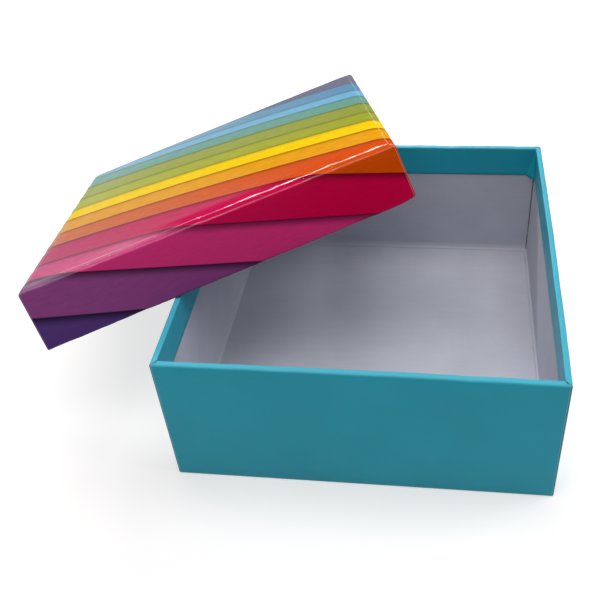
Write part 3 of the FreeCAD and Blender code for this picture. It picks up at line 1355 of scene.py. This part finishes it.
@dataclass(frozen=True)
class StripedPaper:
    """A print of overlapping coloured strips under a gloss laminate.

    The place across the print is x·sin(angle) + y·cos(angle) of the sheet's coordinates, and the place along
    it is x·cos(angle) − y·sin(angle), both in millimetres. A strip's far edge lies at far_edge +
    lean·along − bow·(along/bow_reach)². Most strips lie under the one beyond, whose edge throws a soft
    shade on them.

    Attributes:
        name: The material's name.
        angle: How far the print is turned.
        strips: Its strips, from the far one to the near one.
        shade_width: How wide the shade under a strip's far edge is, in millimetres.
        cast_width: How wide its cast on the strip beyond is.
        edge_blur: How wide the edge itself is.
        line_width: How wide the dark line under it is.
        line_tone: The share of light left in that line.
        ends: The ends of the print, between which each strip's colour changes.
        bow_reach: How far from the middle a strip's edge has dropped by its bow.
        half: Half the width of the closed face.
        flap_ends: The cut ends of its flaps.
        painted_sheen: The share of a pale painted reflection at the near left of the closed face.
        painted_sheen_towards: The direction on the sheet in which the painted sheen thins.
        painted_sheen_flat: The places that way, in millimetres, between which it thins on the flat face.
        painted_sheen_roll: The places between which it thins sooner, where the paper rolls over a fold.
        painted_sheen_thin: What is left of it at the far right, as a share.
        roll: How far inside the fold the roll starts, and where it counts in full.
        face: How far past the fold the closed face's own look starts to fade, and ends.
        strokes: The paper's fine slanting strokes.
        stroke_turn: How far they slant from the print's direction.
        stroke_scale: How closely they lie, along and across.
        strokes_on_walls: How strong they are on the walls, as a share.
        painted_fold_highlights: How far inside the fold each painted highlight lies, and how pale it is.
        fold_highlight_width: Half the width of a painted highlight line.
        fold_highlight_core: How much of that is pale in full.
        wander: How far the painted highlight lines wander.
        broken: How they break up.
        dimples: The shallow dimples of glued paper.
        laminate: The strength of the laminate's gloss.
        laminate_roughness: Its roughness.
        print_roughness: The roughness of the print under it.
    """

    name: str = "gloss_striped_paper"
    angle: float = math.radians(20.18)
    strips: tuple[Strip, ...] = (
        Strip(200.0, 0.0, linear(124, 127, 145), linear(116, 115, 137)),
        Strip(72.9, 0.030, linear(143, 179, 201), linear(93, 141, 178), 0.15),
        Strip(54.6, 0.022, linear(145, 187, 209), linear(114, 176, 212), 0.1, 0.2),
        Strip(42.2, 0.014, linear(132, 174, 162), linear(106, 158, 142), 0.25),
        Strip(25.7, 0.017, linear(168, 175, 98), linear(148, 157, 66), 0.4),
        Strip(6.2, 0.028, linear(182, 185, 82), linear(160, 164, 50), 0.1, 0.25),
        Strip(-9.5, 0.035, linear(250, 209, 10), linear(248, 206, 0), 0.2, 0.25),
        Strip(-23.1, 0.041, linear(228, 159, 44), linear(230, 158, 0), 0.5),
        Strip(-39.8, 0.044, linear(204, 110, 58), linear(212, 76, 0), 0.45),
        Strip(-56.6, 0.025, linear(182, 24, 98), linear(200, 0, 64), 0.6, bow=2.6),
        Strip(-76.0, 0.034, linear(199, 49, 116), linear(205, 46, 115), 0.72),
        Strip(-91.9, 0.015, linear(134, 66, 124), linear(134, 60, 122), 0.78),
        Strip(-108.9, 0.030, linear(80, 52, 115), linear(80, 52, 115), 0.75))
    shade_width: float = 4.2
    cast_width: float = 3.5
    edge_blur: float = 0.4
    line_width: float = 0.8
    line_tone: float = 0.5
    ends: Pair = (-75.0, 75.0)
    bow_reach: float = 80.0
    half: float = 78.75 * MM
    flap_ends: FlapEnds = FlapEnds(78.75 * MM, 78.1 * MM, pale=0.12, dark=0.85)
    painted_sheen: float = 0.13
    painted_sheen_towards: Pair = (1.0, 0.8)
    painted_sheen_flat: Pair = (-130.0, -10.0)
    painted_sheen_roll: Pair = (-92.0, -68.0)
    painted_sheen_thin: float = 0.05
    roll: Pair = (11.0 * MM, 6.0 * MM)
    face: Pair = (-2.0 * MM, 0.8 * MM)
    strokes: Grain = Grain(1.0, 3, 0.6, 0.84, 1.12)
    stroke_turn: float = math.radians(14)
    stroke_scale: Triple = (170.0, 1150.0, 1.0)
    strokes_on_walls: float = 0.45
    painted_fold_highlights: tuple[Pair, ...] = ((2.6 * MM, 0.2), (0.0, 0.12))
    fold_highlight_width: float = 0.4 * MM
    fold_highlight_core: float = 0.1 * MM
    wander: Grain = Grain(60, low=-0.25 * MM, high=0.25 * MM)
    broken: Grain = Grain(170, low=0.3, high=1.0, usual=(0.38, 0.62))
    dimples: Grain = Grain(330, roughness=0.55, depth=0.02 * MM)
    laminate: float = 0.45
    laminate_roughness: float = 0.1
    print_roughness: float = 0.6

    def towards(self, nodes: Nodes, sheet: Socket, way: Pair) -> Socket:
        """How far a point lies along a direction of the sheet.

        Args:
            nodes: The material's nodes.
            sheet: The sheet's coordinates.
            way: The direction.

        Returns:
            The distance from the sheet's middle, in millimetres.
        """
        dot = nodes.add("VectorMath", {"operation": "DOT_PRODUCT"})
        nodes.put_all(dot, (sheet, (way[0] / MM, way[1] / MM, 0.0)))
        return dot.outputs["Value"]

    def out(self, nodes: Nodes, sheet: Socket) -> Socket:
        """How far out on the sheet a point lies, towards the nearest wall."""
        return nodes.math("MAXIMUM", *nodes.from_middle(sheet))

    def on_face(self, nodes: Nodes, sheet: Socket) -> Socket:
        """1 on the closed face and its rolled edges, and 0 on the walls."""
        start, end = self.face
        return nodes.spread(self.out(nodes, sheet), self.half + start, self.half + end, 1.0, 0.0, True)

    def printed(self, nodes: Nodes, sheet: Socket) -> Socket:
        """The printed colour: the strips from the far one to the near one, each laid with its shade.

        Args:
            nodes: The material's nodes.
            sheet: The sheet's coordinates.

        Returns:
            The colour.
        """
        sine, cosine = math.sin(self.angle), math.cos(self.angle)
        across = self.towards(nodes, sheet, (sine, cosine))
        along = self.towards(nodes, sheet, (cosine, -sine))
        share = nodes.spread(along, *self.ends, 0.0, 1.0)
        reach = nodes.math("DIVIDE", along, self.bow_reach)
        bend = nodes.math("MULTIPLY", reach, reach)
        colour = nodes.blend(share, self.strips[0].left, self.strips[0].right)
        for strip in self.strips[1:]:
            edge = nodes.math("MULTIPLY_ADD", along, strip.lean, strip.far_edge)
            edge = nodes.math("MULTIPLY_ADD", bend, -strip.bow, edge)
            below = nodes.math("SUBTRACT", edge, across)
            if strip.cast > 0:
                colour = nodes.shade(
                    colour, nodes.spread(below, -self.cast_width, 0.0, 1.0, 1 - strip.cast, True))
            shade = nodes.spread(below, 0.0, self.shade_width, 1 - strip.shade, 1.0, True)
            line = nodes.spread(below, 0.0, self.line_width, self.line_tone, 1.0, True)
            own = nodes.blend(share, strip.left, strip.right)
            own = nodes.shade(own, nodes.math("MULTIPLY", shade, line))
            laid = nodes.spread(below, -self.edge_blur / 2, self.edge_blur / 2, 0.0, 1.0)
            colour = nodes.blend(laid, colour, own)
        return colour

    def with_painted_sheen(self, nodes: Nodes, sheet: Socket, colour: Socket) -> Socket:
        """The colour of the closed face with a painted sheen, a pale reflection painted into the colour.

        The painted sheen thins towards the far right. Where the paper rolls over a fold, it ends sooner.

        Args:
            nodes: The material's nodes.
            sheet: The sheet's coordinates.
            colour: The colour to draw on.

        Returns:
            The colour with the painted sheen.
        """
        towards = self.towards(nodes, sheet, self.painted_sheen_towards)
        on_flat = nodes.spread(towards, *self.painted_sheen_flat, self.painted_sheen, self.painted_sheen * self.painted_sheen_thin)
        on_roll = nodes.spread(towards, *self.painted_sheen_roll, self.painted_sheen, 0.0)
        start, full = (self.half - inset for inset in self.roll)
        rolled = nodes.spread(self.out(nodes, sheet), start, full, 0.0, 1.0, True)
        share = nodes.spread(rolled, 0.0, 1.0, on_flat, on_roll)
        # Painted sheen: the colour mixed towards pale grey on the closed face.
        return nodes.blend(nodes.math("MULTIPLY", share, self.on_face(nodes, sheet)), colour, PALE)

    def stroked(self, nodes: Nodes, sheet: Socket, colour: Socket) -> Socket:
        """The colour with the paper's fine slanting strokes, fainter on the walls than on the closed face.

        Args:
            nodes: The material's nodes.
            sheet: The sheet's coordinates.
            colour: The colour to draw on.

        Returns:
            The colour with the strokes.
        """
        streaks = nodes.stretched(sheet, self.stroke_scale, self.angle + self.stroke_turn)
        share = nodes.spread(self.on_face(nodes, sheet), 0.0, 1.0, self.strokes_on_walls, 1.0)
        return nodes.shade(colour, self.strokes.value(nodes, streaks), share)

    def with_painted_fold_highlights(self, nodes: Nodes, sheet: Socket, colour: Socket) -> Socket:
        """The colour with painted highlights: pale broken lines painted along the folds.

        Args:
            nodes: The material's nodes.
            sheet: The sheet's coordinates.
            colour: The colour to draw on.

        Returns:
            The colour with the painted fold highlights.
        """
        place = nodes.place()
        out = nodes.math("ADD", self.out(nodes, sheet), self.wander.value(nodes, place))
        broken = self.broken.value(nodes, place)
        for inset, strength in self.painted_fold_highlights:
            off = nodes.math("ABSOLUTE", nodes.math("SUBTRACT", out, self.half - inset))
            share = nodes.spread(off, self.fold_highlight_core, self.fold_highlight_width, strength, 0.0, True)
            # A painted highlight line along the fold.
            colour = nodes.blend(nodes.math("MULTIPLY", share, broken), colour, WHITE)
        return colour

    def material(self) -> bpy.types.Material:
        """Make the finish.

        Returns:
            The material.
        """
        nodes = Nodes.of_new_material(self.name)
        sheet = nodes.sheet()
        colour = self.printed(nodes, sheet)
        # Laid on the print: painted sheen, the paper's strokes, painted fold highlights and the flap ends.
        for drawn in (self.with_painted_sheen, self.stroked, self.with_painted_fold_highlights, self.flap_ends.draw):
            colour = drawn(nodes, sheet, colour)
        normal = self.dimples.bump(nodes, nodes.place())
        return nodes.finish(nodes.add(
            "BsdfPrincipled", Base_Color=colour, Roughness=self.print_roughness, Normal=normal,
            Specular_IOR_Level=0.0, Coat_Weight=self.laminate, Coat_Roughness=self.laminate_roughness,
            Coat_Normal=normal))


@dataclass(frozen=True)
class GreyBoard:
    """Uncoated grey-white board, with fine flecks, soft mottling and faint rolled streaks.

    Attributes:
        name: The material's name.
        inner_half: Half the distance between two facing walls of the board.
        colour: The board's colour.
        roughness: Its roughness.
        gloss: How strongly it mirrors.
        mottle: Its soft mottling.
        flecks: Its fine flecks.
        rolled: Its streaks from rolling.
        rolled_scale: How closely the streaks lie, along and across.
        waves: Its shallow waves.
        gap_painted_shade: How deep the painted shade is along the gap where two walls butt, unevenly.
        gap_start: How far inside the inner face the painted shade starts.
        gap_full: Where it is dark in full.
    """

    name: str
    inner_half: float
    colour: Triple = linear(195, 195, 206)
    roughness: float = 0.72
    gloss: float = 0.35
    mottle: Grain = Grain(45, 4, 0.6, 0.95, 1.03)
    flecks: Grain = Grain(1900, 2, 0.7, -0.025, 0.025, depth=0.012 * MM)
    rolled: Grain = Grain(1.0, 3, 0.6, -0.02, 0.02)
    rolled_scale: Triple = (60.0, 700.0, 700.0)
    waves: Grain = Grain(150, depth=0.08 * MM)
    gap_painted_shade: Grain = Grain(130, 2, low=0.3, high=0.9, usual=(0.4, 0.55))
    gap_start: float = 0.55 * MM
    gap_full: float = 0.25 * MM

    def material(self) -> bpy.types.Material:
        """Make the finish.

        Returns:
            The material.
        """
        nodes = Nodes.of_new_material(self.name)
        place = nodes.place()
        streaks = nodes.stretched(place, self.rolled_scale)
        tone = nodes.math("ADD", self.mottle.value(nodes, place), self.flecks.value(nodes, place))
        tone = nodes.math("ADD", tone, self.rolled.value(nodes, streaks))
        # Painted shade along the butt gaps of the inside corners.
        colour = nodes.shade(nodes.shade(self.colour, tone), self.butt_gap(nodes, place))
        normal = self.flecks.bump(nodes, place, self.waves.bump(nodes, place))
        return nodes.finish(nodes.add(
            "BsdfPrincipled", Base_Color=colour, Roughness=self.roughness, Normal=normal,
            Specular_IOR_Level=self.gloss))

    def butt_gap(self, nodes: Nodes, place: Socket) -> Socket:
        """The light left along the inside corners: painted shade where the walls butt with an uneven gap.

        Args:
            nodes: The material's nodes.
            place: The piece's coordinates.

        Returns:
            The share of light left.
        """
        start, full = self.inner_half - self.gap_start, self.inner_half - self.gap_full
        nearer = nodes.math("MINIMUM", *nodes.from_middle(nodes.sheet()))
        in_corner = nodes.spread(nearer, start, full, 0.0, 1.0)
        dark = nodes.math("MULTIPLY", in_corner, self.gap_painted_shade.value(nodes, place))
        return nodes.math("SUBTRACT", 1.0, dark)


@dataclass(frozen=True)
class KraftPaper:
    """Brown gummed paper of the corner stays.

    Attributes:
        name: The material's name.
        colour: The paper's colour.
        roughness: Its roughness.
        fibre: Its fibres.
    """

    name: str = "brown_stay_paper"
    colour: Triple = linear(186, 150, 108)
    roughness: float = 0.65
    fibre: Grain = Grain(900, 4, 0.65, 0.88, 1.06, depth=0.02 * MM)

    def material(self) -> bpy.types.Material:
        """Make the finish.

        Returns:
            The material.
        """
        nodes = Nodes.of_new_material(self.name)
        place = nodes.place()
        colour = nodes.shade(self.colour, self.fibre.value(nodes, place))
        normal = self.fibre.bump(nodes, place)
        return nodes.finish(nodes.add(
            "BsdfPrincipled", Base_Color=colour, Roughness=self.roughness, Normal=normal))


# ---------------------------------------------------------------------------------------------- studio

@dataclass(frozen=True)
class Softbox:
    """A lamp.

    Attributes:
        name: Its name.
        place: Where it hangs.
        aim: Where it points.
        width: Its width.
        watts: Its power.
        height: Its height, where it isn't square.
        in_gloss: Whether glossy surfaces mirror it.
    """

    name: str
    place: Triple
    aim: Triple
    width: float
    watts: float
    height: float = 0.0
    in_gloss: bool = True

    def light(self) -> None:
        """Hang the lamp and point it."""
        data = bpy.data.lights.new(self.name, "AREA")
        data.shape = "RECTANGLE"
        data.size, data.size_y = self.width, self.height or self.width
        data.energy = self.watts
        lamp = bpy.data.objects.new(self.name, data)
        lamp.visible_glossy = self.in_gloss
        turned = (Vector(self.aim) - Vector(self.place)).to_track_quat("-Z", "Y")
        lamp.matrix_world = Matrix.Translation(self.place) @ turned.to_matrix().to_4x4()
        bpy.context.scene.collection.objects.link(lamp)


@dataclass(frozen=True)
class Studio:
    """A white floor, soft lamps and a dim surround.

    As the camera sees it, the floor is a diffuse part, which shows the shadows, and a lift of plain white.

    Attributes:
        floor_side: The floor's side.
        floor_grey: How pale the floor is as it lights the box.
        before: The y at which the floor looks as it does before the box.
        behind: The y at which it looks as it does behind the box.
        tone_before: How pale its diffuse part is before the box.
        tone_behind: How pale that is behind the box.
        lift_before: Its lift before the box.
        lift_behind: Its lift behind the box.
        warmth: A tint that takes off the box's blue-green light on the floor.
        lit_to: How far from the box that lift reaches.
        unlit_from: Where the floor is all white.
        gloss_tone: How pale its diffuse part is as glossy surfaces mirror it.
        gloss_lift: Its lift there, close to the box.
        gloss_white_to: How far from the box that lift reaches.
        gloss_grey_from: Where it has faded.
        surround: The strength of the surround's light.
        softboxes: The lamps.
    """

    floor_side: float = 6.0
    floor_grey: float = 0.75
    before: float = -85.0 * MM
    behind: float = -50.0 * MM
    tone_before: float = 0.8
    tone_behind: float = 0.42
    lift_before: float = 0.29
    lift_behind: float = 0.72
    warmth: Triple = (1.0, 0.965, 0.955)
    lit_to: float = 0.5
    unlit_from: float = 2.5
    gloss_tone: float = 0.06
    gloss_lift: float = 0.58
    gloss_white_to: float = 0.2
    gloss_grey_from: float = 0.5
    surround: float = 0.12
    softboxes: tuple[Softbox, ...] = (
        Softbox("top_softbox", (0.0, -0.05, 1.25), (0.0, 0.0, 0.0), 0.9, 8.1, in_gloss=False),
        Softbox("right_softbox", (0.85, 0.1, 0.9), (0.0, 0.0, 0.0), 0.7, 5.5),
        Softbox("left_softbox", (-0.4, -0.5, 1.1), (0.0, 0.0, 0.0), 0.6, 2.5),
        Softbox("rim_softbox", (-0.1, 1.0, 0.85), (0.0, 0.0, 0.05), 0.4, 3.5),
        Softbox("key_softbox", (-0.53, 0.94, 0.71), (0.0, 0.0, 0.08), 0.46, 3.8, 0.07))

    def floor_finish(self) -> bpy.types.Material:
        """A white floor that keeps the shadows: plain diffuse, and lifted to white as the camera sees it.

        Returns:
            The material.
        """
        nodes = Nodes.of_new_material("white_floor")
        rays = nodes.add("LightPath").outputs
        by_camera = rays["Is Camera Ray"]
        place = nodes.place()
        y = nodes.add("SeparateXYZ", Vector=place).outputs["Y"]
        seen_tone = nodes.spread(y, self.before, self.behind, self.tone_before, self.tone_behind, True)
        tone = nodes.math("MAXIMUM", nodes.math("MULTIPLY", by_camera, seen_tone), self.gloss_tone)
        seen_lift = nodes.spread(y, self.before, self.behind, self.lift_before, self.lift_behind, True)
        away = nodes.add("VectorMath", {"operation": "LENGTH"}, Vector=place).outputs["Value"]
        far = nodes.spread(away, self.lit_to, self.unlit_from, seen_lift, 1.0, True)
        near = nodes.spread(away, self.gloss_white_to, self.gloss_grey_from, self.gloss_lift, 0.0, True)
        shown = nodes.add("BsdfDiffuse", Color=nodes.shade(self.warmth, tone))
        lift = nodes.add("Emission", Color=WHITE, Strength=nodes.spread(by_camera, 0.0, 1.0, near, far))
        plain = nodes.add("BsdfDiffuse", Color=(self.floor_grey,) * 3)
        both = nodes.add("AddShader")
        nodes.put_all(both, (shown.outputs[0], lift.outputs[0]))
        mirrored = nodes.math("MAXIMUM", by_camera, rays["Is Glossy Ray"])
        mirrored = nodes.math("MAXIMUM", mirrored, rays["Is Transmission Ray"])
        mixed = nodes.add("MixShader")
        nodes.put_all(mixed, (mirrored, plain.outputs[0], both.outputs[0]))
        return nodes.finish(mixed)

    def lay_floor(self) -> None:
        """Lay the floor, one square at the height of the box's foot."""
        half = self.floor_side / 2
        corners = [(-half, -half, 0), (half, -half, 0), (half, half, 0), (-half, half, 0)]
        mesh = bpy.data.meshes.new("floor")
        mesh.from_pydata(corners, [], [(0, 1, 2, 3)])
        mesh.materials.append(self.floor_finish())
        floor = bpy.data.objects.new("floor", mesh)
        bpy.context.scene.collection.objects.link(floor)

    def dim_surround(self) -> None:
        """Set the surround: dim light that softens the shadows, and white where the camera sees it."""
        world = bpy.data.worlds.new("dim_surround")
        bpy.context.scene.world = world
        nodes = Nodes(world)
        by_camera = nodes.add("LightPath").outputs["Is Camera Ray"]
        strength = nodes.spread(by_camera, 0.0, 1.0, self.surround, 1.0)
        background = nodes.add("Background", Color=WHITE, Strength=strength)
        output = nodes.add("OutputWorld")
        nodes.tree.links.new(background.outputs[0], output.inputs["Surface"])

    def set_up(self) -> None:
        """Build the studio."""
        self.lay_floor()
        self.dim_surround()
        for softbox in self.softboxes:
            softbox.light()


@dataclass(frozen=True)
class Viewpoint:
    """The camera.

    Attributes:
        place: Where it stands.
        azimuth, elevation, roll: Its direction and its turn about that, in degrees.
        lens: Its focal length in millimetres.
        sensor: The width of its sensor in millimetres.
        shift: How far its frame is shifted right and up, in widths of the frame.
        nearest: How near it can see.
    """

    place: Triple = (0.03204, -0.25953, 0.27743)
    azimuth: float = 9.32
    elevation: float = 39.38
    roll: float = -4.31
    lens: float = 47.86
    sensor: float = 36.0
    shift: Pair = (-0.0791, -0.0892)
    nearest: float = 0.01

    def set_up(self) -> None:
        """Place the camera, turned by its azimuth, then its elevation, then its roll."""
        data = bpy.data.cameras.new("camera")
        data.sensor_width = self.sensor
        data.lens = self.lens
        data.shift_x, data.shift_y = self.shift
        data.clip_start = self.nearest
        camera = bpy.data.objects.new("camera", data)
        turn = Matrix.Rotation(math.radians(self.azimuth), 4, "Z")
        tip = Matrix.Rotation(math.radians(90 - self.elevation), 4, "X")
        roll = Matrix.Rotation(math.radians(self.roll), 4, "Z")
        camera.matrix_world = Matrix.Translation(self.place) @ turn @ tip @ roll
        bpy.context.scene.collection.objects.link(camera)
        bpy.context.scene.camera = camera


# ------------------------------------------------------------------------------------------------ main

def base_tray(wrap: bpy.types.Object, stay: bpy.types.Material) -> WrappedTray:
    """The base: a deep tray with sharp folds in blue-green paper.

    Args:
        wrap: The frame's node of its wrap.
        stay: The corner stays' material.

    Returns:
        The tray.
    """
    lie = Lie(
        bows=(0.45 * MM, 0.05 * MM, 0.45 * MM, -0.45 * MM), crown=-0.5 * MM, crown_across=0.0,
        rim_wave=0.09 * MM, fold_wave=0.0, floor_wave=0.35 * MM,
        foot_corners=(STILL, STILL, (-0.84, -0.37, 0.0), (0.8, -0.05, 0.0)),
        rim_corners=((0.13, 0.26, 0.45), STILL, (0.28, 0.16, 0.0), (0.67, -0.08, 0.07)), seed=3)
    board = GreyBoard("base_grey_board", inner_half=73.0 * MM).material()
    finish = TrayFinish(SatinPaper().material(), "blue_green_paper", board, stay)
    return WrappedTray(
        "base", Stance.of(wrap), lie, finish, roll=0.7 * MM, pillow=0.0, fold_drop=0.7 * MM, roll_power=2.0,
        corner_round=0.7 * MM, soft_corner=0.0, score_open=0.35 * MM)


def lid_tray(wrap: bpy.types.Object, stay: bpy.types.Material) -> WrappedTray:
    """The lid: a shallow tray with softly rolled folds in striped paper.

    Args:
        wrap: The frame's node of its wrap.
        stay: The corner stays' material.

    Returns:
        The tray.
    """
    lie = Lie(
        bows=(-0.1 * MM, -0.15 * MM, -0.1 * MM, -0.1 * MM), crown=0.6 * MM, crown_across=0.6 * MM,
        rim_wave=0.1 * MM, fold_wave=0.12 * MM, floor_wave=0.25 * MM,
        foot_corners=(
            (-0.42, 0.22, 0.04), (-0.55, -1.41, -0.28), (0.07, -0.96, -0.24), (-0.07, 0.41, 0.11)),
        rim_corners=((0.39, -0.4, -1.11), (-0.97, 0.72, 0.64), STILL, STILL), seed=7, tuck=1.1 * MM)
    board = GreyBoard("lid_grey_board", inner_half=76.7 * MM).material()
    finish = TrayFinish(StripedPaper().material(), "striped_paper", board, stay)
    return WrappedTray("lid", Stance.of(wrap), lie, finish)


def main() -> None:
    """Build the looks of both trays around the frame, and the studio."""
    logging.basicConfig(level=logging.INFO, format="%(name)s: %(message)s")
    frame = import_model()
    nodes = frame["nodes"]
    bpy.context.scene.view_settings.view_transform = "Standard"
    stay = KraftPaper().material()
    for tray in (base_tray(nodes["base_wrap"], stay), lid_tray(nodes["lid_wrap"], stay)):
        tray.assemble()
    Studio().set_up()
    Viewpoint().set_up()


if __name__ == "__main__":
    main()
